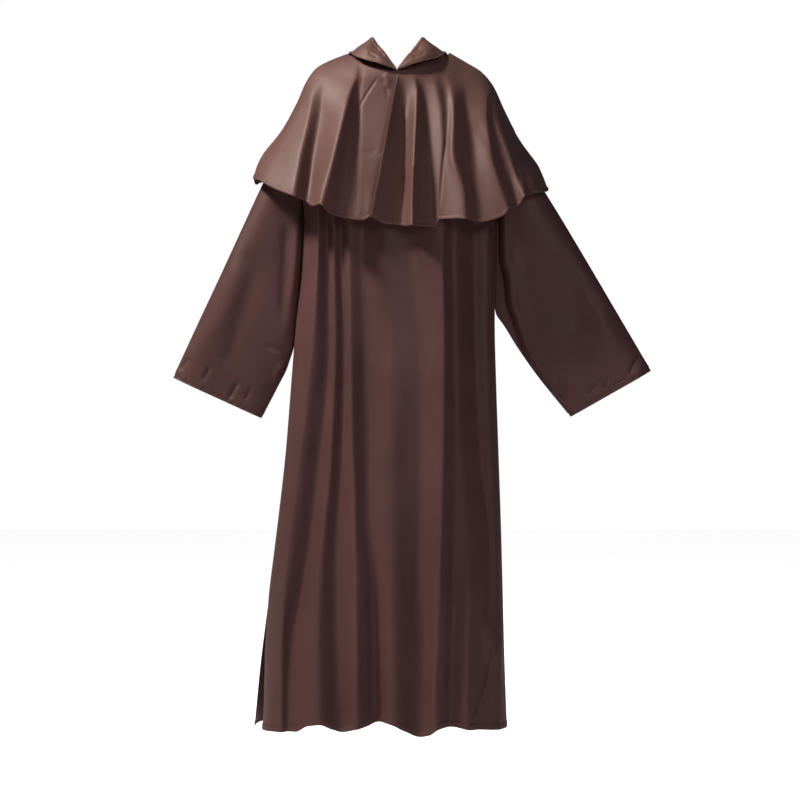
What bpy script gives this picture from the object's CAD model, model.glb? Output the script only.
import math

import bpy
import numpy as np
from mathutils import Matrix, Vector


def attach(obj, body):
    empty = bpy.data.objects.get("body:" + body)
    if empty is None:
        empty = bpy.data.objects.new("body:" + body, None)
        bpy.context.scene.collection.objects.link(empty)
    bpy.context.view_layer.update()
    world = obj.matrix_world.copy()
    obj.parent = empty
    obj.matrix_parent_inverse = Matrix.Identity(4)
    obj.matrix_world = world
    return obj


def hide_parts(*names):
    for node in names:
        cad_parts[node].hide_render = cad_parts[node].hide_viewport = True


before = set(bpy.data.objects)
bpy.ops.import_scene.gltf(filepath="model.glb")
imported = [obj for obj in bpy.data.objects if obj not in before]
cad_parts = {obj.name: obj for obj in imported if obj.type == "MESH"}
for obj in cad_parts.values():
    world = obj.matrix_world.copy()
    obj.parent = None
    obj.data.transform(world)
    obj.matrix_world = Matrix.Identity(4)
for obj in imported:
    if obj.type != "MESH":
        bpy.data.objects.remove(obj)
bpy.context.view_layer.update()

MM = 0.001
WALL = 1.0            # the cloth itself, drawn about twice as thick as it is so that its edge shows
SEAM = 0.3
SIDE_UNDERLAP = 2.0   # the back's edges reach this far under the front's at the side seams
SIDE_TUCK = 1.3       # and lie this far inside them
NECK_SLOPE = 1.3      # how steeply the neck and shoulder lines rise to the sides

# Robe: sections from the neck to the hem
ROBE = {
    "row": (0, .05, .10, .15, .20, .25, .30, .35, .40, .46, .52, .58, .66, .74, .82, .91, 1),
    "left": (103.3, 138, 166, 184, 194, 198, 199, 200, 200, 204, 216, 226, 238, 255, 274, 293, 306),
    "right": (110.4, 142, 170, 190, 199, 206, 210, 211, 211, 210, 209, 212, 217, 222, 226, 230, 235),
    "front": (66, 70, 77, 84, 92, 99, 104, 108, 110, 112, 115, 118, 121, 125, 129, 133, 137),
    "back": (59.6, 70, 80, 88, 94, 99, 102, 104, 105, 107, 109, 111, 115, 119, 123, 128, 132),
    "side_z": (5.6, -15, -36, -54, -90, -150, -215, -280, -330, -450, -565, -690, -840, -990,
               -1140, -1290, -1424),
    "front_z": (-37.5, -80, -118, -155, -200, -250, -300, -345, -382, -470, -570, -690, -840, -990,
                -1140, -1280, -1403),
    "back_z": (-23.7, -56, -90, -122, -165, -225, -285, -340, -382, -470, -570, -690, -840, -990,
               -1140, -1285, -1412),
}
ARMHOLE_TOP, ARMHOLE_BOTTOM, ARMHOLE_HALF = 0.15, 0.40, 45
ROUNDNESS = {"row": (0, .30, .45, .60, 1), "power": (1, 1, .92, .86, .84)}

# Folds of the front: each line is a ridge (depth above 0) or a trough (below 0), with its x and its
# depth at these drops
FRONT_FOLDS = {
    "drops": (437, 603, 853, 977, 1101, 1225, 1350),
    "lines": (
        ((-164, -174, -201, -215, -230, -238, -236), (12, 13, 16, 17, 17, 15, 14)),
        ((-147, -141, -164, -176, -199, -221, -228), (-9, -10, -11, -10, -9, -4, 2)),
        ((-134, -132, -139, -151, -161, -163, -159), (-2, -2, -2, 1, 7, 10, 11)),
        ((-116, -109, -118, -124, -126, -124, -122), (-14, -14, -14, -13, -12, -11, -11)),
        ((-101, -100, -93, -85, -80, -80, -81), (4, 6, 8, 10, 12, 13, 13)),
        ((-70, -62, -64, -64, -50, -47, -45), (-8, -9, -8, -5, -9, -11, -12)),
        ((-25, -4, -12, -12, -12, -12, -8), (-2, -1, 3, 6, 8, 9, 9)),
        ((20, 37, 48, 48, 46, 50, 42), (-2, -2, -5, -8, -11, -11, -9)),
        ((95, 98, 95, 92, 90, 86, 81), (14, 15, 15, 15, 15, 14, 11)),
        ((114, 116, 120, 118, 116, 114, 112), (1, 0, -1, -2, -5, -6, -7)),
        ((125, 128, 133, 145, 151, 149, 147), (2, 1, 0, 1, 4, 5, 5)),
        ((164, 166, 176, 192, 197, 180, 172), (-15, -15, -14, -10, -8, -7, -6)),
        ((193, 197, 201, 206, 209, 218, 213), (3, 4, 3, 2, 4, 11, 8)),
    ),
}
BACK_FOLDS = {
    "drops": (402, 920, 1378),
    "lines": (
        ((-168, -186, -236), (7, 9, 11)),
        ((-132, -152, -184), (-9, -10, -12)),
        ((-116, -134, -162), (-7, -8, -9)),
        ((-84, -102, -122), (8, 11, 15)),
        ((-42, -50, -66), (-8, -9, -13)),
        ((2, 4, -12), (9, 10, 13)),
        ((46, 52, 44), (-7, -10, -12)),
        ((60, 68, 60), (-5, -8, -9)),
        ((92, 100, 96), (9, 10, 14)),
        ((134, 142, 148), (-8, -9, -11)),
        ((170, 182, 192), (7, 8, 9)),
    ),
}
FRONT_HEM = {"x": (-306, -209, -184, -159, -134, -117, -84, -60, -35, -10, 15, 46, 66, 86, 114,
                   163, 235),
             "rise": (0, -6, 6, 9, -5, -11, -1, 3, 11, 7, -7, -21, -15, -1, 1, -4, 0)}
BACK_HEM = {"x": (-306, -236, -178, -122, -66, -12, 44, 96, 148, 192, 235),
            "rise": (0, -7, 4, -10, 6, -9, 5, -8, 4, -5, 0)}

# Creases: points (x, drop) along each, its half width and its height
FRONT_CREASES = (
    (((-79, 900), (-77, 1100), (-72, 1260), (-68, 1400)), 6, -4),
    (((102, 980), (90, 1180), (86, 1300), (84, 1400)), 6, -4),
    (((210, 1215), (193, 1261), (179, 1325), (150, 1402)), 3.5, -5),
    (((181, 1167), (196, 1222), (212, 1292)), 13, 6),
    (((206, 345), (190, 372), (178, 395)), 4, -3),
    (((208, 372), (196, 384), (186, 400)), 4, 2),
    (((-300, 1080), (-282, 1150), (-285, 1260)), 9, -3),
    (((-30, 620), (-12, 760), (-20, 900)), 26, 3),
)
BACK_CREASES = (
    (((-160, 420), (-120, 520), (-104, 640)), 9, -4),
    (((150, 430), (118, 560), (104, 700)), 9, -4),
    (((-210, 1180), (-180, 1290), (-150, 1408)), 4, -4),
    (((10, 380), (2, 560), (6, 760)), 7, 3),
    (((60, 1130), (52, 1280), (44, 1408)), 6, -4),
)

# Sleeves from the armhole to the cuff: upper line, lower line, half thickness, bow
SLEEVE_LEFT = {
    "up_x": (-184, -208, -238, -285, -330, -377, -424, -478),
    "up_z": (-54, -106, -170, -264, -361, -463, -563, -680),
    "low_x": (-201, -205, -207.5, -213.5, -221, -232, -258, -291),
    "low_z": (-330, -388, -455, -518, -582, -647, -703, -766),
    "half": (45, 45, 44, 42, 40, 37, 33, 29),
    "bow": (8, 15, 12, 5, 0, 0, 0, 0),
}
SLEEVE_RIGHT = {
    "up_x": (190, 211, 248, 297, 348, 403, 469, 542),
    "up_z": (-54, -106, -168, -254, -337, -429, -541, -665),
    "low_x": (211, 214, 213, 212.8, 212.6, 241, 295, 372),
    "low_z": (-330, -376, -428, -478, -530, -586, -667, -763),
    "half": (45, 45, 44, 42, 40, 37, 33, 29),
    "bow": (8, 15, 12, 5, 0, 0, 0, 0),
}
SLEEVE_BLEND = 0.08
UNDERARM = {-1: 640, 1: 555}     # drop at which each sleeve leaves the robe's side
# Long soft folds round the tube: place in turns, width, depth at the armhole and at the cuff
SLEEVE_FOLDS = (
    (.12, .055, 4, 2), (.24, .060, -3, -2), (.37, .060, 3, 3),
    (.64, .060, 4, 3), (.78, .060, -6, -4), (.90, .055, 4, 2),
)
LEFT_SLEEVE_CREASES = (
    (((-207, 320), (-211, 405), (-219, 475), (-226, 540)), 9, 5),
    (((-233, 335), (-236, 410), (-240, 495), (-244, 580)), 12, -5),
    (((-286, 388), (-312, 494), (-350, 600)), 24, -4),
    (((-318, 420), (-352, 520), (-392, 610)), 18, 3),
    (((-330, 560), (-352, 620), (-372, 660)), 14, -3),
    (((-219, 634), (-248, 622), (-286, 610)), 4, -3),
    (((-230, 645), (-246, 664), (-262, 690)), 10, 5),
    (((-335, 684), (-348, 706), (-360, 728)), 6, -4),
    (((-309, 700), (-317, 714), (-325, 730)), 5, -3),
    (((-395, 652), (-405, 672), (-413, 690)), 6, -3),
    (((-440, 636), (-452, 652), (-462, 668)), 5, -2.5),
    (((-286, 735), (-281, 747), (-286, 760)), 3, -3),
)
RIGHT_SLEEVE_CREASES = (
    (((240, 370), (250, 450), (262, 520), (285, 600)), 14, 5),
    (((345, 400), (372, 500), (392, 600)), 26, -5),
    (((290, 420), (310, 520), (345, 620)), 24, 4),
    (((420, 520), (445, 580), (470, 640)), 20, 3),
    (((345, 664), (356, 700), (352, 738)), 9, -6),
    (((322, 690), (330, 716), (345, 745)), 8, 5),
    (((518, 626), (503, 650), (490, 678)), 3, -3.5),
    (((490, 678), (474, 688), (455, 698)), 3, -3),
    (((528, 640), (516, 662), (505, 684)), 9, 3),
    (((430, 690), (418, 702), (408, 718)), 5, -3),
    (((452, 676), (446, 690), (440, 706)), 5, -2.5),
)
# The right sleeve's front layer ends in this rolled edge, and the back layer shows beyond it
ROLLED_EDGE = ((222, 300), (226, 356), (226, 418), (236, 467), (242, 524), (255, 562), (276, 622),
               (306, 670), (322, 700), (352, 738))
# Back layers of the sleeves
SLEEVE_BACK_CREASES = (
    (((-230, 380), (-262, 480), (-300, 590)), 16, -4),
    (((-280, 360), (-330, 480), (-380, 610)), 18, 4),
    (((-330, 660), (-348, 700), (-352, 730)), 6, -3),
    (((240, 380), (285, 490), (340, 600)), 16, -4),
    (((300, 380), (360, 490), (430, 610)), 18, 4),
    (((420, 650), (416, 690), (420, 720)), 6, -3),
)

# Cape: sections from the neck to the hem
CAPE = {
    "row": (0, .12, .22, .32, .46, .66, .84, 1),
    "left": (105, 143, 172, 195, 215, 246, 276, 307),
    "right": (112, 148, 180, 206, 227, 258, 288, 321),
    "front": (72, 81, 91, 103, 119, 139, 154, 166),
    "back": (62, 80, 95, 108, 124, 142, 156, 166),
    "left_z": (14, -1, -17, -45, -90, -152, -207, -253),
    "right_z": (16, -5, -25, -56, -105, -168, -228, -280),
    "front_z": (-37, -76, -109, -141, -186, -251, -308, -358),
    "back_z": (-22, -45, -75, -105, -150, -215, -275, -330),
}
CAPE_ROUNDNESS = 0.93
FREE_EDGE_NECK, FREE_EDGE_HEM = 1, -55      # x of the right front's free edge
LEFT_END_NECK, LEFT_END_HEM = 12, 22        # x of the left front's end beneath it

# Folds of the cape's left front, from the side to the free edge
LEFT_FRONT_FOLDS = {
    "drops": (48, 83, 128, 214, 298, 350),
    "lines": (
        ((-190, -212, -226, -252, -272, -284), (0, 2, 5, 7, 8, 8)),
        ((-170, -179, -184, -199, -209, -216), (0, 4, 8, 11, 13, 13)),
        ((-150, -157, -161, -174, -184, -190), (0, -4, -9, -13, -14, -14)),
        ((-84, -97, -108, -127, -146, -156), (2, 8, 15, 21, 25, 27)),
        ((-80, -87, -89, -103, -113, -120), (-1, -3, -5, -8, -12, -13)),
        ((-72, -79, -78, -81, -82, -86), (-2, -8, -13, -18, -20, -18)),
        ((-68, -75, -75, -78, -79, -83), (-1, -6, -10, -15, -18, -17)),
        ((-12, -18, -24, -38, -52, -62), (-3, -6, -9, -15, -20, -20)),
    ),
}
# Folds of the cape's right front, from the free edge to the side
RIGHT_FRONT_FOLDS = {
    "drops": (48, 83, 128, 214, 298, 350),
    "lines": (
        ((-3, -9, -16, -30, -46, -57), (2, 6, 8, 8, 8, 8)),
        ((10, 17, 19, 19, 17, 15), (0, -6, -12, -20, -26, -28)),
        ((36, 43, 41, 36, 31, 29), (2, 6, 9, 14, 18, 20)),
        ((44, 50, 50, 47, 46, 46), (0, -2, -4, -6, -9, -11)),
        ((52, 58, 62, 67, 74, 78), (0, -5, -9, -14, -20, -22)),
        ((78, 85, 93, 97, 87, 81), (2, 5, 4, 0, -9, -17)),
        ((92, 101, 104, 100, 90, 84), (1, 0, -1, -4, -10, -18)),
        ((108, 116, 118, 114, 138, 141), (2, 6, 10, 11, 11, 11)),
        ((138, 146, 145, 155, 162, 164), (0, -5, -9, -11, -5, -2)),
        ((180, 190, 188, 196, 222, 234), (0, 4, 8, 13, 16, 17)),
        ((188, 200, 198, 216, 243, 256), (0, 2, 2, 0, -2, -3)),
        ((194, 207, 212, 240, 260, 275), (0, 3, 6, 12, 15, 15)),
        ((200, 215, 225, 257, 277, 297), (0, 0, 0, 0, 0, 0)),
    ),
}
# How far the hem rises or drops along the fronts
CAPE_HEM_LINE = {
    "x": (-307, -300, -283, -227, -191, -174, -158, -136, -113, -70, -56, -24, 0, 30, 79, 87, 120, 150,
          184, 214, 232, 252, 265, 283, 321),
    "rise": (3, 10, 14, 16, 16, 8, 13, 0, -2, -3, 4, -6, -8, -14, -15, -1, -4, -11,
             -18, -16, -6, 0, 12, 13, 0),
}
CAPE_BACK_HEM = {
    "x": (-307, -300, -290, -278, -240, -170, 170, 245, 285, 300, 312, 321),
    "rise": (4, 16, 24, 28, 24, 0, 0, 18, 26, 24, 14, 4),
}
# Folds round the sides and back: degrees at the neck and at the hem, row where each begins, depth
CAPE_BACK_FOLDS = (
    (74, 74, .40, -7), (92, 94, .30, 6), (108, 112, .25, -13), (124, 130, .18, 17),
    (140, 146, .15, -18), (156, 160, .12, 19), (172, 174, .12, -19), (188, 189, .12, 20),
    (204, 203, .15, -18), (220, 217, .15, 18), (236, 232, .20, -15), (252, 250, .30, 11),
    (270, 270, .40, 0), (290, 306, .15, 7),
)
CAPE_CREASES = (
    (((-39, 49), (-60, 80), (-80, 116)), 2.6, -2.0),
    (((-36, 50), (-24, 70), (-17, 98)), 2.4, -1.8),
    (((-38, 226), (-30, 222), (-20, 221)), 2.5, 2.5),
    (((-26, 40), (-20, 58), (-20, 76)), 7, 3.0),
    (((-78, 210), (-60, 214), (-40, 211)), 5, -1.2),
    (((106, 168), (98, 215), (90, 300), (87, 344)), 3, -3.0),
    (((15, 100), (17, 168), (16, 260), (12, 345)), 3, -4.0),
    (((160, 140), (190, 190), (215, 250)), 12, -2.0),
    (((-206, 90), (-226, 150), (-262, 210)), 14, 2.5),
    (((-250, 150), (-262, 190), (-276, 225)), 8, -2.0),
)

# Hood laid back, one half: degrees round the neck seam from the front to the back, then lines of
# points from the seam outwards: the low band, on the right half alone, the tuck behind it, the
# under side, the bulge, the roll, the fall, the pouch and the free front edge
HOOD_TURNS = (2, 30, 52, 68, 78, 107, 130, 147, 168, 180)
HOOD = {
    "band": ((-.5, -69, -37), (-31, -67, -31), (-52, -59, -21), (-70, -45, -8), (-96, -18, 9),
             (-98, 22, 11), (-84, 46, 6), (-59, 64, -5.5), (-22, 71, -12.5), (-.15, 72.5, -14.2)),
    "tuck": ((-.5, -66, -37), (-28, -50, -17), (-46, -40, -4), (-62, -28, 6), (-92, -12, 13),
             (-97, 22, 12), (-80, 44, 6), (-58, 62, -5), (-22, 70, -12), (-.15, 72, -14)),
    "under": ((-.5, -73, -36), (-33, -73, -20), (-57, -66, -11), (-77, -50, -1), (-98, -18, 14),
              (-102, 25, 12), (-88, 54, 6), (-61, 71, -6), (-22, 78, -13.5), (-.15, 79, -14.5)),
    "bulge": ((-.5, -78, -36), (-35, -80, -24), (-60, -73, -16), (-81, -57, -6), (-101, -20, 10),
              (-101, 26, 9), (-92, 56, 6), (-62, 74, -7), (-22, 80, -14), (-.15, 81, -15)),
    "roll": ((-.5, -79, -35), (-31, -79, -15), (-54, -69, 1), (-73, -52, 12), (-90, -24, 17),
             (-96, 36, 13), (-104, 80, -8), (-80, 100, -50), (-32, 107, -73), (-.15, 109, -77)),
    "fall": ((-.5, -78, -34), (-28, -73, -9), (-49, -62, 9), (-65, -46, 24), (-80, -18, 26),
             (-92, 52, 18), (-110, 106, -38), (-83, 139, -117), (-34, 154, -174), (-.15, 158, -184)),
    "pouch": ((-.5, -77, -33.5), (-25, -68, -4), (-43, -55, 16), (-58, -40, 34), (-68, -2, 33),
              (-82, 58, 22), (-98, 120, -12), (-82, 166, -72), (-34, 188, -104), (-.15, 192, -110)),
    "edge": ((-.5, -76, -33), (-22, -63, -1), (-37, -49, 21), (-51, -34, 42), (-60, 12, 37),
             (-72, 58, 24), (-82, 100, 8), (-66, 134, -2), (-24, 150, -8), (-.15, 152, -9)),
}
SEAM_TURN = 3          # the seam allowance is folded down behind the cape's neck edge
HOOD_RIGHT_SCALE = 1.05
HOOD_CREASES = (
    (((-44, -18), (-38, -12), (-34, -6)), 2.2, -2.0),
    (((-34, -2), (-30, 4), (-27, 8)), 2.0, -1.8),
    (((-62, -4), (-48, 4), (-40, 12)), 3.0, -2.0),
    (((30, 10), (44, 4), (62, -4)), 4.0, -3.0),
    (((22, -2), (36, -8), (52, -16)), 3.0, -2.5),
    (((46, 26), (60, 18), (78, 10)), 4.0, -2.0),
)

# Hems: turned once, with one row of stitches
ROBE_HEM, CUFF_HEM, CAPE_HEM, EDGE_HEM, HOOD_HEM = 14, 11, 8, 8, 10
CREST = 0.6              # how narrow the ridges of folds are, from 0, round, to 1, sharp
ROBE_FOLD_DEPTH, CAPE_FOLD_DEPTH = 1.6, 1.15
FOLD_SIDEWAYS = .15      # share of a fold's height that widens the robe's sides
SLIT_ACROSS, SLIT_FORWARD = 20, 26      # how far the front stands away at the open side seam
UNEVEN_WAVES = 14
STITCH_PITCH, STITCH_LENGTH, THREAD = 3.4, 2.6, 0.45
STITCH_SUNK, STITCH_RAISED = .25, .18      # its ends and its middle, from the cloth's face


def ease(low, high, at):
    t = np.clip((at - low) / (high - low), 0.0, 1.0)
    return t * t * (3 - 2 * t)


def along(places, values, at):
    """Value of a table's column at a place, through smooth slopes that never overshoot."""
    places, values = np.asarray(places, float), np.asarray(values, float)
    slope = np.diff(values) / np.diff(places)
    before, after = slope[:-1], slope[1:]
    same = before * after > 0
    tangent = np.concatenate((
        slope[:1],
        np.where(same, 2 * before * after / np.where(same, before + after, 1), 0),
        slope[-1:],
    ))
    at = np.clip(at, places[0], places[-1])
    i = np.clip(np.searchsorted(places, at, side="right") - 1, 0, len(places) - 2)
    span = places[i + 1] - places[i]
    t = (at - places[i]) / span
    rise = values[i + 1] - values[i]
    bend = tangent[i] * t * (1 - t) ** 2 - tangent[i + 1] * t * t * (1 - t)
    return values[i] + rise * t * t * (3 - 2 * t) + span * bend


def section(table, at):
    return {name: along(table["row"], table[name], at) for name in table if name != "row"}


def signed_power(value, power):
    return np.sign(value) * np.abs(value) ** power


def between(places, depths, at):
    """Height over a row of ridges and troughs: flat flanks, narrow ridges, soft troughs. The
    first axis of places and depths runs over the folds, the others are those of at."""
    places = np.maximum.accumulate(places, axis=0)
    i = np.clip((places <= at).sum(axis=0) - 1, 0, len(places) - 2)[None]

    def pick(values, index):
        return np.take_along_axis(values, index, 0)[0]

    first, second = pick(places, i), pick(places, i + 1)
    here, there = pick(depths, i), pick(depths, i + 1)
    t = np.clip((at - first) / np.maximum(second - first, 1e-6), 0, 1)
    up = np.where(there > here, t, 1 - t)      # 0 in the trough, 1 on the ridge
    flank = (1 - CREST) * up * up * (3 - 2 * up) + CREST * up ** 1.3
    return np.minimum(here, there) + np.abs(there - here) * flank


def softened(height, reach):
    """Height with its sharp ridges rounded over a few columns."""
    weights = np.concatenate((np.arange(1, reach + 2), np.arange(reach, 0, -1))).astype(float)
    weights /= weights.sum()
    padded = np.pad(height, ((0, 0), (reach, reach)), mode="edge")
    return sum(w * padded[:, k:k + height.shape[1]] for k, w in enumerate(weights))


def folds_at(folds, x, drop, left, right):
    """Height of hanging folds at places on a panel, 0 at its two sides."""
    flat = np.zeros_like(x)
    lines = folds["lines"]
    places = [along(folds["drops"], at, drop) for at, _ in lines]
    depths = [along(folds["drops"], depth, drop) for _, depth in lines]
    places = np.stack([left + flat] + places + [right + flat])
    return between(places, np.stack([flat] + depths + [flat]), x)


def nearest(points, x, drop):
    """Distance to a bent line, the side of it, and how far along it the nearest place is."""
    points = np.asarray(points, float)
    lengths = np.hypot(*np.diff(points, axis=0).T)
    starts = np.concatenate(([0], np.cumsum(lengths)))
    best = np.full(x.shape, 1e9)
    side = np.zeros(x.shape)
    place = np.zeros(x.shape)
    for i, length in enumerate(lengths):
        ux, uz = (points[i + 1] - points[i]) / length
        dx, dz = x - points[i, 0], drop - points[i, 1]
        t = np.clip(dx * ux + dz * uz, 0, length)
        far = np.hypot(dx - ux * t, dz - uz * t)
        closer = far < best
        best = np.where(closer, far, best)
        side = np.where(closer, np.sign(dx * uz - dz * ux), side)
        place = np.where(closer, (starts[i] + t) / starts[-1], place)
    return best, side, place


def rounded(points, steps=6):
    """A bent line with its corners smoothed."""
    points = np.asarray(points, float)
    places = np.arange(len(points))
    fine = np.linspace(0, len(points) - 1, steps * (len(points) - 1) + 1)
    return np.stack([along(places, points[:, 0], fine), along(places, points[:, 1], fine)], 1)


def creases_at(creases, x, drop):
    """Height of soft creases laid on cloth by hand."""
    height = np.zeros_like(x)
    for points, width, depth in creases:
        reach = 3 * width
        xs, drops = zip(*points)
        near = ((x > min(xs) - reach) & (x < max(xs) + reach)
                & (drop > min(drops) - reach) & (drop < max(drops) + reach))
        if not near.any():
            continue
        far, _, place = nearest(rounded(points), x[near], drop[near])
        ends = ease(0, .25, place) * ease(0, .25, 1 - place) if len(points) > 2 else 1
        height[near] += depth * np.exp(-(far / width) ** 2) * ends
    return height


def unevenness(x, drop, size, depth, seed):
    """Slow unplanned waves that keep cloth from looking pressed."""
    chance = np.random.default_rng(seed)
    height = np.zeros_like(x)
    for _ in range(UNEVEN_WAVES):
        turn = chance.uniform(-.5, .5)
        length = size * chance.uniform(.5, 1.6)
        phase = chance.uniform(0, 2 * math.pi)
        way = x * math.cos(turn) + drop * math.sin(turn) * .6
        height += np.sin(2 * math.pi * way / length + phase)
    return height * depth / 3.7      # about the root of the number of waves


def puckers(place, from_edge, spacing, depth, slant, reach, seed):
    """Short gathers that the stitches pull into a hem: place runs along it."""
    chance = np.random.default_rng(seed)
    height = np.zeros_like(place)
    at = place.min() - 20
    while at < place.max() + 20:
        at += spacing * chance.uniform(.55, 1.5)
        wide = spacing * chance.uniform(.18, .34)
        size = chance.uniform(.35, 1) * depth
        long = reach * chance.uniform(.5, 1.4)
        lean = slant * chance.uniform(.6, 1.3)
        off = (place - at - lean * from_edge) / wide
        height -= size * np.exp(-off ** 2) * np.exp(-(from_edge / long) ** 2)
    return height


def hem_relief(from_edge, width):
    """Height of a turned hem: double cloth up to the stitches, which pull it in."""
    double = 0.9 * (1 - ease(width - .6, width + 1.2, from_edge))
    pulled = -1.1 * np.exp(-((from_edge - width + 1.0) / 1.3) ** 2)
    lip = -.7 * (1 - ease(0, 2.2, from_edge))
    return double + pulled + lip


def normals_of(grid, sign, wraps):
    """Outward normals of a grid of points [row, column, xyz]."""
    if wraps:
        east, west = np.roll(grid, -1, 1), np.roll(grid, 1, 1)
    else:
        east = np.concatenate((grid[:, 1:], grid[:, -1:]), 1)
        west = np.concatenate((grid[:, :1], grid[:, :-1]), 1)
    south = np.concatenate((grid[1:], grid[-1:]), 0)
    north = np.concatenate((grid[:1], grid[:-1]), 0)
    normal = np.cross(east - west, south - north) * sign
    return normal / np.maximum(np.linalg.norm(normal, axis=2, keepdims=True), 1e-9)


def distance_down(grid):
    """Distance along each column from its first row."""
    steps = np.linalg.norm(np.diff(grid, axis=0), axis=2)
    return np.concatenate((np.zeros((1, grid.shape[1])), np.cumsum(steps, 0)))


def distance_across(grid):
    """Distance along each row from its first column."""
    steps = np.linalg.norm(np.diff(grid, axis=1), axis=2)
    return np.concatenate((np.zeros((grid.shape[0], 1)), np.cumsum(steps, 1)), 1)


def spread(*spans):
    """Steps from 0 to 1 in spans of (end, count)."""
    parts, start = [np.zeros(1)], 0.0
    for end, count in spans:
        parts.append(np.linspace(start, end, count + 1)[1:])
        start = end
    return np.concatenate(parts)


# ---------------------------------------------------------------------------------------------
# Meshes


def cloth(name, grid, sign, wraps, material):
    """A sheet of cloth over a grid of points, with its own thickness inwards."""
    rows, columns = grid.shape[:2]
    index = np.arange(rows * columns).reshape(rows, columns)
    if wraps:
        index = np.concatenate((index, index[:, :1]), 1)
    quads = np.stack((index[:-1, :-1], index[:-1, 1:], index[1:, 1:], index[1:, :-1]), 2)
    quads = quads.reshape(-1, 4)
    if sign < 0:
        quads = quads[:, ::-1]
    mesh = bpy.data.meshes.new(name)
    mesh.from_pydata((grid.reshape(-1, 3) * MM).tolist(), [], quads.tolist())
    # the cloth's own lengths across and down, in metres, so that the weave follows it
    down = distance_down(grid) * MM
    across = distance_across(grid) * MM
    if wraps:
        last = across[:, -1:] + np.linalg.norm(grid[:, -1:] - grid[:, :1], axis=2) * MM
        across, down = np.concatenate((across, last), 1), np.concatenate((down, down[:, :1]), 1)
    across = across - across[:, across.shape[1] // 2][:, None]
    corners = np.stack((np.stack((across[:-1, :-1], across[:-1, 1:], across[1:, 1:], across[1:, :-1]), 2),
                        np.stack((down[:-1, :-1], down[:-1, 1:], down[1:, 1:], down[1:, :-1]), 2)), 3)
    corners = corners.reshape(-1, 4, 2)
    if sign < 0:
        corners = corners[:, ::-1]
    layer = mesh.uv_layers.new(name="cloth")
    layer.data.foreach_set("uv", corners.ravel())
    mesh.materials.append(material)
    piece = bpy.data.objects.new(name, mesh)
    bpy.context.scene.collection.objects.link(piece)
    thicken(piece)
    return piece


def thicken(piece):
    bpy.ops.object.select_all(action="DESELECT")
    piece.select_set(True)
    bpy.context.view_layer.objects.active = piece
    wall = piece.modifiers.new("wall", "SOLIDIFY")
    wall.thickness = WALL * MM
    wall.offset = -1
    bpy.ops.object.modifier_apply(modifier=wall.name)
    bpy.ops.object.shade_smooth_by_angle(angle=math.radians(62))


def stitches(name, path, normals, material):
    """One row of stitches along a path on the cloth, each a short spindle of thread."""
    steps = np.linalg.norm(np.diff(path, axis=0), axis=1)
    length = np.concatenate(([0], np.cumsum(steps)))
    count = int(length[-1] / STITCH_PITCH)
    points, faces = [], []
    sides = 5
    for i in range(count):
        start = (i + .5) * STITCH_PITCH
        ends = [start - STITCH_LENGTH / 2, start + STITCH_LENGTH / 2]
        a, b = (np.array([np.interp(e, length, path[:, k]) for k in range(3)]) for e in ends)
        out = np.array([np.interp(start, length, normals[:, k]) for k in range(3)])
        axis = (b - a) / max(np.linalg.norm(b - a), 1e-6)
        out = out - axis * out.dot(axis)
        out /= max(np.linalg.norm(out), 1e-6)
        side = np.cross(axis, out)
        base = len(points)
        points.append(a - out * STITCH_SUNK)
        for share, radius in ((.25, THREAD / 2), (.75, THREAD / 2)):
            middle = a + (b - a) * share + out * STITCH_RAISED
            for k in range(sides):
                turn = 2 * math.pi * k / sides
                points.append(middle + radius * (math.cos(turn) * out + math.sin(turn) * side))
        points.append(b - out * STITCH_SUNK)
        for k in range(sides):
            n = (k + 1) % sides
            faces.append((base, base + 1 + k, base + 1 + n))
            faces.append((base + 1 + k, base + 1 + sides + k, base + 1 + sides + n, base + 1 + n))
            faces.append((base + 1 + sides + k, base + 1 + 2 * sides, base + 1 + sides + n))
    mesh = bpy.data.meshes.new(name)
    mesh.from_pydata((np.array(points) * MM).tolist(), [], faces)
    mesh.materials.append(material)
    piece = bpy.data.objects.new(name, mesh)
    bpy.context.scene.collection.objects.link(piece)
    bpy.ops.object.select_all(action="DESELECT")
    piece.select_set(True)
    bpy.context.view_layer.objects.active = piece
    bpy.ops.object.mode_set(mode="EDIT")
    bpy.ops.mesh.select_all(action="SELECT")
    bpy.ops.mesh.normals_make_consistent(inside=False)
    bpy.ops.object.mode_set(mode="OBJECT")
    bpy.ops.object.shade_smooth()
    return piece


def line_at(grid, normals, from_edge, distance):
    """Points and normals of a grid at one distance from its last row."""
    row = (from_edge > distance).sum(0).clip(1, grid.shape[0] - 1)
    column = np.arange(grid.shape[1])
    here, above = from_edge[row, column], from_edge[row - 1, column]
    share = ((distance - here) / np.maximum(above - here, 1e-6)).clip(0, 1)[:, None]
    points = grid[row, column] * (1 - share) + grid[row - 1, column] * share
    return points, normals[row, column]


# ---------------------------------------------------------------------------------------------
# Materials


def linear(code):
    """An sRGB hex colour as linear red, green, blue and full alpha."""
    parts = [int(code[i:i + 2], 16) / 255 for i in (1, 3, 5)]
    return [c / 12.92 if c <= .04045 else ((c + .055) / 1.055) ** 2.4 for c in parts] + [1]


def add(tree, kind, values=None, links=None, **settings):
    """Adds a node, sets its options and the values of its inputs, and links other nodes to it."""
    made = tree.nodes.new(kind)
    for name, value in settings.items():
        setattr(made, name, value)
    for name, value in (values or {}).items():
        made.inputs[name].default_value = value
    for name, output in (links or {}).items():
        tree.links.new(output, made.inputs[name])
    return made


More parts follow.
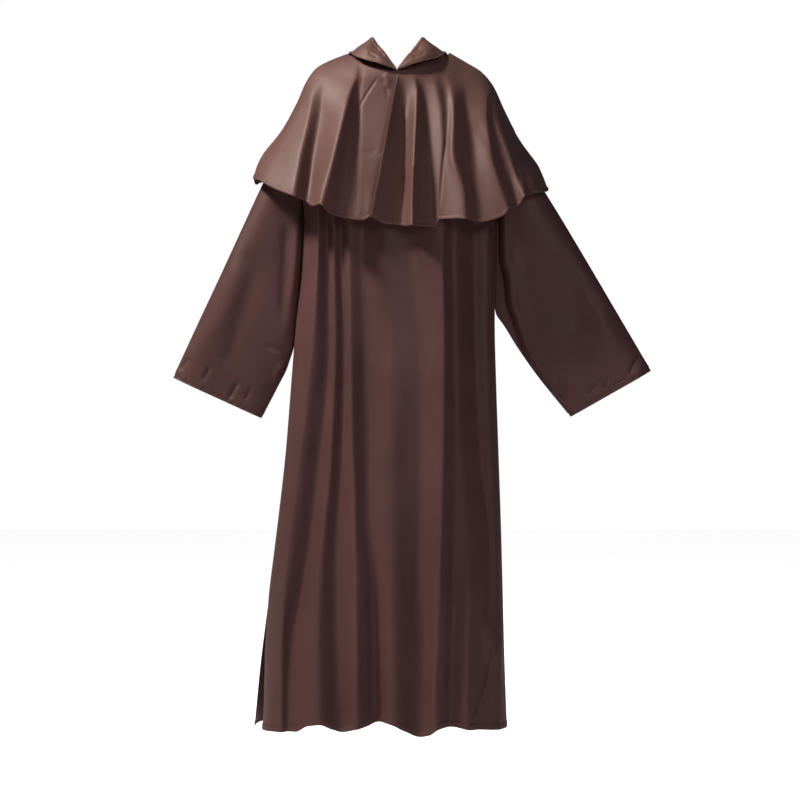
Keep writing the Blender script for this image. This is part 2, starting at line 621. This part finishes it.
def satin_twill(name, dark, light):
    """Woven polyester satin twill: the long floats on its face give a soft, broad sheen that runs
    with the folds, over fine slanting lines of thread."""
    material = bpy.data.materials.new(name)
    material.use_nodes = True
    tree = material.node_tree
    tree.nodes.clear()
    place = add(tree, "ShaderNodeTexCoord")
    # dye takes a little unevenly over hand-sized areas
    patches = add(tree, "ShaderNodeTexNoise", {"Scale": 7, "Detail": 3, "Roughness": .5},
                  {"Vector": place.outputs["Object"]})
    # single threads, 0.25 mm, drawn as grain of about 1.2 mm
    grain = add(tree, "ShaderNodeTexNoise", {"Scale": 850, "Detail": 1, "Roughness": .6},
                {"Vector": place.outputs["Object"]})
    mixed = add(tree, "ShaderNodeMath", links={0: patches.outputs["Fac"], 1: grain.outputs["Fac"]},
                operation="MULTIPLY_ADD")
    mixed.inputs[2].default_value = .22
    colour = add(tree, "ShaderNodeValToRGB", links={"Fac": mixed.outputs[0]})
    colour.color_ramp.elements[0].position, colour.color_ramp.elements[0].color = .30, linear(dark)
    colour.color_ramp.elements[1].position, colour.color_ramp.elements[1].color = .66, linear(light)
    # twill lines lie at 0.6 mm and 63 degrees; drawn at 1.5 mm, as finer ones can't show
    turned = add(tree, "ShaderNodeMapping", {"Rotation": (0, 0, math.radians(27))},
                 {"Vector": place.outputs["UV"]})
    lines = add(tree, "ShaderNodeTexWave", {"Scale": .314 / .0015, "Distortion": .6, "Detail": 1},
                {"Vector": turned.outputs["Vector"]}, wave_type="BANDS", bands_direction="X")
    weave = add(tree, "ShaderNodeBump", {"Strength": .22, "Distance": .00018},
                {"Height": lines.outputs["Fac"]})
    # faint rumpling that is left after pressing, 15 to 40 mm across
    rumple = add(tree, "ShaderNodeTexNoise", {"Scale": 26, "Detail": 2, "Roughness": .55},
                 {"Vector": place.outputs["Object"]})
    surface = add(tree, "ShaderNodeBump", {"Strength": .16, "Distance": .004},
                  {"Height": rumple.outputs["Fac"], "Normal": weave.outputs["Normal"]})
    rough = add(tree, "ShaderNodeMapRange", {"To Min": .46, "To Max": .60},
                {"Value": patches.outputs["Fac"]})
    shader = add(tree, "ShaderNodeBsdfPrincipled",
                 {"IOR": 1.45, "Specular IOR Level": .45, "Sheen Weight": .05, "Sheen Roughness": .45,
                  "Sheen Tint": (1, .86, .80, 1)},
                 {"Base Color": colour.outputs["Color"], "Roughness": rough.outputs["Result"],
                  "Normal": surface.outputs["Normal"]})
    add(tree, "ShaderNodeOutputMaterial", links={"Surface": shader.outputs["BSDF"]})
    return material


def spun_thread(name, code):
    """Spun polyester sewing thread: a little duller and lighter than the cloth."""
    material = bpy.data.materials.new(name)
    material.use_nodes = True
    tree = material.node_tree
    tree.nodes.clear()
    place = add(tree, "ShaderNodeTexCoord")
    twist = add(tree, "ShaderNodeTexNoise", {"Scale": 1500, "Detail": 1},
                {"Vector": place.outputs["Object"]})
    colour = add(tree, "ShaderNodeValToRGB", links={"Fac": twist.outputs["Fac"]})
    base = linear(code)
    colour.color_ramp.elements[0].color = [c * .7 for c in base[:3]] + [1]
    colour.color_ramp.elements[1].color = [min(c * 1.25, 1) for c in base[:3]] + [1]
    bump = add(tree, "ShaderNodeBump", {"Strength": .3, "Distance": .0001},
               {"Height": twist.outputs["Fac"]})
    shader = add(tree, "ShaderNodeBsdfPrincipled", {"Roughness": .7, "IOR": 1.45},
                 {"Base Color": colour.outputs["Color"], "Normal": bump.outputs["Normal"]})
    add(tree, "ShaderNodeOutputMaterial", links={"Surface": shader.outputs["BSDF"]})
    return material


robe_twill = satin_twill("woven_polyester_satin_twill_robe", "#503534", "#614140")
cape_twill = satin_twill("woven_polyester_satin_twill_cape", "#604540", "#71514b")
sewing_thread = spun_thread("spun_polyester_thread", "#6a504b")


# ---------------------------------------------------------------------------------------------
# Robe panels


def armhole_half(row):
    place = np.clip((row - ARMHOLE_TOP) / (ARMHOLE_BOTTOM - ARMHOLE_TOP), 0, 1)
    return SEAM / 2 + ARMHOLE_HALF * np.sin(place * math.pi) ** .8


def robe_grid(facing, rows, columns):
    """Points of the robe's front (facing -1) or back (facing 1), rows down, columns left to right."""
    row = rows[:, None]
    angle = np.linspace(-math.pi / 2, math.pi / 2, columns + 1)[None, :] + 0 * row
    size = section(ROBE, row)
    front = facing < 0
    sine, middle = np.sin(angle), np.maximum(np.cos(angle), 0)
    reach = np.where(angle < 0, size["left"], size["right"])
    depth, middle_z = (size["front"], size["front_z"]) if front else (size["back"], size["back_z"])
    power = along(ROUNDNESS["row"], ROUNDNESS["power"], row)
    half = armhole_half(row) - (0 if front else SIDE_UNDERLAP)
    x = signed_power(sine, power) * (reach - (0 if front else SIDE_TUCK))
    y = facing * (half + (depth - half) * middle ** power)
    hem = FRONT_HEM if front else BACK_HEM
    z = size["side_z"] + (middle_z - size["side_z"]) * middle ** NECK_SLOPE
    z = z + along(hem["x"], hem["rise"], x) * ease(.93, 1, row)
    fade = ease(.12, .34, row)
    folds = FRONT_FOLDS if front else BACK_FOLDS
    fold = folds_at(folds, x, -z, -size["left"], size["right"]) * fade * ROBE_FOLD_DEPTH
    fold = softened(fold, 2)
    inside = middle ** .5
    fine = creases_at(FRONT_CREASES if front else BACK_CREASES, x, -z)
    fine += unevenness(x, -z, 150, .9, 3 if front else 4) * fade
    x = np.clip(x + fold * sine * FOLD_SIDEWAYS, -size["left"], size["right"])
    y = y + facing * (fold + fine) * inside
    if front:
        slit = ease(.80, 1, row) * ease(.75, 1, np.abs(sine)) * (angle < 0)
        x = x + SLIT_ACROSS * slit
        y = y - SLIT_FORWARD * slit
    return np.stack(np.broadcast_arrays(x, y, z), 2)


def finish_hem(grid, sign, wraps, width, spacing, depth, reach, slant, seed):
    """Adds a turned hem with its gathers along the last row, and gives the stitch line."""
    normal = normals_of(grid, sign, wraps)
    from_top = distance_down(grid)
    from_edge = from_top[-1:] - from_top
    place = distance_across(grid)[-1:] + 0 * from_edge
    relief = hem_relief(from_edge, width)
    relief += puckers(place, from_edge, spacing, depth, slant, reach, seed)
    grid = grid + normal * relief[:, :, None]
    path, out = line_at(grid, normals_of(grid, sign, wraps), from_edge, width - 1.0)
    return grid, path, out


front_rows = spread((.36, 30), (.955, 128), (1, 36))
front_grid = robe_grid(-1, front_rows, 236)
front_grid, front_path, front_out = finish_hem(front_grid, -1, False, ROBE_HEM, 15, 1.0, 16, .35, 11)
back_rows = spread((.36, 34), (.955, 100), (1, 26))
back_grid = robe_grid(1, back_rows, 200)
back_grid, back_path, back_out = finish_hem(back_grid, 1, False, ROBE_HEM, 16, 1.0, 16, .35, 12)

robe_front = cloth("robe_front_cloth", front_grid, -1, False, robe_twill)
robe_back = cloth("robe_back_cloth", back_grid, 1, False, robe_twill)
robe_hem_stitches = stitches("robe_front_hem_stitches", front_path, front_out, sewing_thread)
back_hem_stitches = stitches("robe_back_hem_stitches", back_path, back_out, sewing_thread)


# ---------------------------------------------------------------------------------------------
# Sleeves


def armhole_row(turn):
    height = .5 - .5 * np.cos(turn * 2 * math.pi)
    return ARMHOLE_BOTTOM - (ARMHOLE_BOTTOM - ARMHOLE_TOP) * height


def sleeve_grid(side, table, creases, round_steps, rows):
    """Points of a hanging sleeve's tube, from the armhole to the cuff; turn 0 is the lower line."""
    steps = len(table["half"]) - 1
    places = np.arange(steps + 1) / steps
    at = rows[:, None]
    turn = (np.arange(round_steps) / round_steps)[None, :] + 0 * at
    line = {name: along(places, table[name], at) for name in table}
    # the lower line lies against the robe's side down to the underarm
    body = along([-z for z in ROBE["side_z"]], ROBE["left" if side < 0 else "right"], -line["low_z"])
    touching = 1 - ease(UNDERARM[side] - 40, UNDERARM[side] + 10, -line["low_z"])
    line["low_x"] = line["low_x"] + (side * (body + .6) - line["low_x"]) * touching
    angle = turn * 2 * math.pi
    height = .5 - .5 * np.cos(angle)
    fold = np.zeros_like(turn)
    for middle, width, top, cuff in SLEEVE_FOLDS:
        fold += (top + (cuff - top) * at) * np.exp(-((turn - middle) / width) ** 2)
    x = (line["low_x"] + (line["up_x"] - line["low_x"]) * height
         + side * line["bow"] * np.sin(height * math.pi))
    z = line["low_z"] + (line["up_z"] - line["low_z"]) * height
    in_front = turn < .5
    shown = ease(0, .10, turn) * ease(0, .10, .5 - turn)
    behind = ease(0, .10, turn - .5) * ease(0, .10, 1 - turn)
    fine = creases_at(creases, x, -z) * shown + creases_at(SLEEVE_BACK_CREASES, x, -z) * behind
    fine += unevenness(x * side, -z, 120, .9, 7 + side) * (shown + behind)
    lean = (.62, .38) if side < 0 else (.50, .66)
    y = -signed_power(np.sin(angle), .65) * (line["half"] * (lean[0] + lean[1] * height) + fold)
    y = y + np.where(in_front, -1, 1) * fine
    if side > 0:
        far, which, _ = nearest(rounded(ROLLED_EDGE), x, -z)
        outside = np.where(which * far < 0, far, 0) * in_front
        back = ease(1, 9, outside)
        roll = 5 * np.exp(-((far - 4) / 6) ** 2) * (which > 0) * in_front * shown
        y = y + back * (np.minimum(-y, 22) * .86) - roll
    tube = np.stack(np.broadcast_arrays(x, y, z), 2)
    row = armhole_row(turn)
    size = section(ROBE, row)
    reach = size["left"] if side < 0 else size["right"]
    facing = np.where(turn < .5, -1, 1)
    edge = np.stack((side * (reach + SEAM), facing * armhole_half(row), size["side_z"]), 2)
    share = ease(0, SLEEVE_BLEND, at)[:, :, None]
    return edge + (tube - edge) * share


sleeve_rows = spread((.10, 26), (.93, 96), (1, 34))
sleeves = []
for name, side, table, creases, seed in (
    ("sleeve_left", -1, SLEEVE_LEFT, LEFT_SLEEVE_CREASES, 21),
    ("sleeve_right", 1, SLEEVE_RIGHT, RIGHT_SLEEVE_CREASES, 22),
):
    grid = sleeve_grid(side, table, creases, 236, sleeve_rows)
    grid, path, out = finish_hem(grid, side, True, CUFF_HEM, 13, 1.5, 15, .5 * side, seed)
    piece = cloth(name + "_cloth", grid, side, True, robe_twill)
    thread = stitches(name + "_cuff_stitches", np.concatenate((path, path[:1])),
                      np.concatenate((out, out[:1])), sewing_thread)
    sleeves.append((name, piece, thread))


# ---------------------------------------------------------------------------------------------
# Cape


def cape_angle(x, size):
    reach = np.where(x < 0, size["left"], size["right"])
    return np.degrees(np.arcsin(signed_power(x / reach, 1 / CAPE_ROUNDNESS)))


def cape_base(degrees, row):
    """The cape's smooth form with no folds: its reach and depth, the two directions outwards
    that they are taken along, and its height."""
    size = section(CAPE, row)
    angle = np.radians(degrees)
    sine, cosine = np.sin(angle), np.cos(angle)
    reach = np.where(sine < 0, size["left"], size["right"])
    side_z = np.where(sine < 0, size["left_z"], size["right_z"])
    depth = np.where(cosine > 0, size["front"], size["back"])
    middle_z = np.where(cosine > 0, size["front_z"], size["back_z"])
    out_x, out_y = signed_power(sine, CAPE_ROUNDNESS), -signed_power(cosine, CAPE_ROUNDNESS)
    z = side_z + (middle_z - side_z) * np.abs(cosine) ** NECK_SLOPE
    return reach, depth, out_x, out_y, z


def cape_grid(columns, rows):
    row = rows[:, None]
    size = section(CAPE, row)
    start = cape_angle(FREE_EDGE_NECK + (FREE_EDGE_HEM - FREE_EDGE_NECK) * row, size)
    end = 360 + cape_angle(LEFT_END_NECK + (LEFT_END_HEM - LEFT_END_NECK) * row, size)
    degrees = start + (end - start) * columns[None, :]
    reach, depth, out_x, out_y, z = cape_base(degrees, row)
    x = reach * out_x
    drop = -z
    # round the sides and the back
    at = np.stack([neck + (hem - neck) * ease(.25, 1, row) + 0 * x for neck, hem, _, _ in CAPE_BACK_FOLDS])
    high = np.stack([fold * ease(begin, 1, row) ** .8 + 0 * x for _, _, begin, fold in CAPE_BACK_FOLDS])
    behind = between(at, high, degrees)
    # across the two fronts
    right = folds_at(RIGHT_FRONT_FOLDS, x, drop, -400, 400) * CAPE_FOLD_DEPTH
    left = folds_at(LEFT_FRONT_FOLDS, x, drop, -400, 400) * CAPE_FOLD_DEPTH
    under = 3 + 33 * row
    free_edge_x = FREE_EDGE_NECK + (FREE_EDGE_HEM - FREE_EDGE_NECK) * row
    left = left - (left + under) * ease(-14, 6, x - free_edge_x * .75)
    share_right = ease(70, 84, degrees)
    share_left = ease(68, 82, 360 - degrees)
    fold = np.where(degrees < 180, right * (1 - share_right) + behind * share_right,
                    left * (1 - share_left) + behind * share_left)
    fold = softened(fold, 3) * ease(-.02, .10, row)
    fine = creases_at(CAPE_CREASES, x, drop) * (np.abs(degrees - 180) > 105)
    fine += unevenness(x, drop, 110, .8, 9) * ease(.05, .3, row)
    fold = fold + fine
    # the fronts' folds stand straight forward, those of the sides and back stand outwards
    forward = np.where(degrees < 180, 1 - share_right, 1 - share_left)
    x = (reach + fold * (1 - forward)) * out_x
    y = depth * out_y + fold * (out_y * (1 - forward) - forward)
    rise = np.where(np.abs(degrees - 180) > 90, along(CAPE_HEM_LINE["x"], CAPE_HEM_LINE["rise"], x),
                    along(CAPE_BACK_HEM["x"], CAPE_BACK_HEM["rise"], x))
    return np.stack((x, y, z + rise * ease(.55, 1, row)), 2)


cape_columns = spread((.185, 140), (.76, 120), (1, 150))
cape_rows = spread((.90, 74), (1, 28))
cape_points = cape_grid(cape_columns, cape_rows)
across = distance_across(cape_points)
free_edge = hem_relief(across, EDGE_HEM) * ease(0, .06, cape_rows)[:, None]
cape_points = cape_points + normals_of(cape_points, -1, False) * free_edge[:, :, None]
cape_points, cape_path, cape_out = finish_hem(cape_points, -1, False, CAPE_HEM, 17, .7, 10, .3, 31)
cape = cloth("cape_cloth_sheet", cape_points, -1, False, cape_twill)
cape_hem_stitches = stitches("cape_hem_stitches", cape_path, cape_out, sewing_thread)


# ---------------------------------------------------------------------------------------------
# Hood


def spline(points, at):
    """A smooth curve through points [point, ..., xyz], at places from 0 to 1; each point's spacing
    is felt, so that the curve keeps close to its chords."""
    first, last = 2 * points[:1] - points[1:2], 2 * points[-1:] - points[-2:-1]
    p = np.concatenate((first, points, last))
    count = len(points) - 1
    i = np.minimum((at * count).astype(int), count - 1)
    t = at * count - i
    p0, p1, p2, p3 = p[i], p[i + 1], p[i + 2], p[i + 3]

    def gap(a, b):
        return np.maximum(np.sqrt(np.linalg.norm(b - a, axis=-1, keepdims=True)), 1e-4)

    d1, d2, d3 = gap(p0, p1), gap(p1, p2), gap(p2, p3)
    d1 = np.where(d1 < 1e-3, d2, d1)
    d3 = np.where(d3 < 1e-3, d2, d3)
    m1 = ((p1 - p0) / d1 - (p2 - p0) / (d1 + d2) + (p2 - p1) / d2) * d2
    m2 = ((p2 - p1) / d2 - (p3 - p1) / (d2 + d3) + (p3 - p2) / d3) * d2
    t = t.reshape(t.shape + (1,) * (p1.ndim - 1))
    return (p1 * (2 * t ** 3 - 3 * t * t + 1) + m1 * (t ** 3 - 2 * t * t + t)
            + p2 * (3 * t * t - 2 * t ** 3) + m2 * (t ** 3 - t * t))


def hood_grid(side, columns, rows):
    """Half of the hood: columns run from the front round to the back, rows from the neck seam to
    the free edge."""
    turn = along(np.arange(len(HOOD_TURNS)) / (len(HOOD_TURNS) - 1), HOOD_TURNS, columns)
    reach, depth, out_x, out_y, z = cape_base(360 - turn if side < 0 else turn, np.zeros_like(turn))
    seam = np.stack(((reach - 2) * out_x, (depth - 2) * out_y, z - SEAM_TURN), 1)
    close = np.abs(seam[:, 0]) < SEAM / 2
    seam[close, 0] = side * SEAM / 2
    rails = [seam]
    stretch = 1 if side < 0 else HOOD_RIGHT_SCALE
    names = ("tuck", "under", "bulge", "roll", "fall", "pouch", "edge")
    if side > 0:
        names = ("band",) + names      # a low roll fills the right hollow's lower half
    for name in names:
        line = np.array(HOOD[name], float)
        scale = stretch + (1 - stretch) * ease(-60, 60, line[:, 1])
        line[:, 0] *= -side * scale
        rails.append(spline(line, columns))
    grid = spline(np.stack(rails), rows)
    x, drop = grid[:, :, 0], -grid[:, :, 2]
    front = ease(0, 30, -grid[:, :, 1])
    fine = creases_at(HOOD_CREASES, x, drop) * front + unevenness(x, drop, 60, .7, 15 + side)
    fine = fine * ease(0, .12, rows)[:, None] * ease(0, .12, 1 - columns)[None, :]
    return grid + normals_of(grid, side, False) * fine[:, :, None]


hoods = []
for name, side in (("hood_left", -1), ("hood_right", 1)):
    columns, rows = np.linspace(0, 1, 111), spread((.86, 60), (1, 18))
    grid = hood_grid(side, columns, rows)
    grid, path, out = finish_hem(grid, side, False, HOOD_HEM, 14, .9, 12, .6 * side, 41 + side)
    piece = cloth(name + "_cloth", grid, side, False, cape_twill)
    thread = stitches(name + "_edge_stitches", path, out, sewing_thread)
    hoods.append((name, piece, thread))


# ---------------------------------------------------------------------------------------------
# What each piece stands for, and its cut


def stand_in(piece, node, thread):
    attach(piece, "root")
    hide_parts(node)
    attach(thread, "root")


stand_in(robe_front, "robe_front", robe_hem_stitches)
stand_in(robe_back, "robe_back", back_hem_stitches)
for name, piece, thread in sleeves:
    stand_in(piece, name, thread)
stand_in(cape, "cape", cape_hem_stitches)
for name, piece, thread in hoods:
    stand_in(piece, name, thread)


# ---------------------------------------------------------------------------------------------
# Floor, light and camera, in metres


FLOOR_SIZE, FLOOR_HEIGHT = 16, -1.62
CAMERA_PLACE = (.0064, -3.6, -.7276)
CAMERA_SENSOR, CAMERA_LENS = 36, 75.7


def area_light(name, place, target, size, power, tint):
    data = bpy.data.lights.new(name, "AREA")
    data.shape = "DISK"
    data.size = size
    data.energy = power
    data.color = linear(tint)[:3]
    light = bpy.data.objects.new(name, data)
    light.location = place
    light.rotation_euler = (Vector(target) - Vector(place)).to_track_quat("-Z", "Y").to_euler()
    bpy.context.scene.collection.objects.link(light)


bpy.ops.object.select_all(action="DESELECT")
bpy.ops.mesh.primitive_plane_add(size=FLOOR_SIZE, location=(0, 0, FLOOR_HEIGHT))
floor = bpy.context.object
floor.name = "floor"
# white painted floor, lit from beneath for the camera alone, so that only a soft shadow shows on it
pale = bpy.data.materials.new("painted_studio_floor")
pale.use_nodes = True
paint = pale.node_tree
paint.nodes.clear()
direct = add(paint, "ShaderNodeLightPath")
matt = add(paint, "ShaderNodeBsdfDiffuse", {"Color": linear("#f4f3f1")})
glow = add(paint, "ShaderNodeEmission", {"Color": linear("#ffffff"), "Strength": .92})
lit = add(paint, "ShaderNodeAddShader", links={0: matt.outputs[0], 1: glow.outputs[0]})
shown = add(paint, "ShaderNodeMixShader", links={0: direct.outputs["Is Camera Ray"], 1: matt.outputs[0],
                                                 2: lit.outputs[0]})
add(paint, "ShaderNodeOutputMaterial", links={"Surface": shown.outputs[0]})
floor.data.materials.append(pale)

area_light("key", (-1.90, -1.00, 1.85), (0, -.1, -.5), .5, 116, "#fff4ea")
area_light("fill", (1.00, -3.1, .30), (0, -.1, -.6), .9, 16, "#fbf0f0")
area_light("back", (-.2, 3.5, .7), (0, .1, -.6), 1.4, 45, "#fbf6f4")

world = bpy.data.worlds.new("studio")
bpy.context.scene.world = world
world.use_nodes = True
sky = world.node_tree
sky.nodes.clear()
seen = add(sky, "ShaderNodeLightPath")
room = add(sky, "ShaderNodeBackground", {"Color": linear("#ccd6ff"), "Strength": .045})
wall = add(sky, "ShaderNodeBackground", {"Color": linear("#ffffff"), "Strength": 1.0})
both = add(sky, "ShaderNodeMixShader", links={0: seen.outputs["Is Camera Ray"], 1: room.outputs[0],
                                              2: wall.outputs[0]})
add(sky, "ShaderNodeOutputWorld", links={"Surface": both.outputs[0]})

bpy.context.scene.view_settings.view_transform = "Standard"

camera_data = bpy.data.cameras.new("camera")
camera_data.sensor_width = CAMERA_SENSOR
camera_data.lens = CAMERA_LENS
camera = bpy.data.objects.new("camera", camera_data)
camera.location = CAMERA_PLACE
camera.rotation_euler = (math.pi / 2, 0, 0)
bpy.context.scene.collection.objects.link(camera)
bpy.context.scene.camera = camera
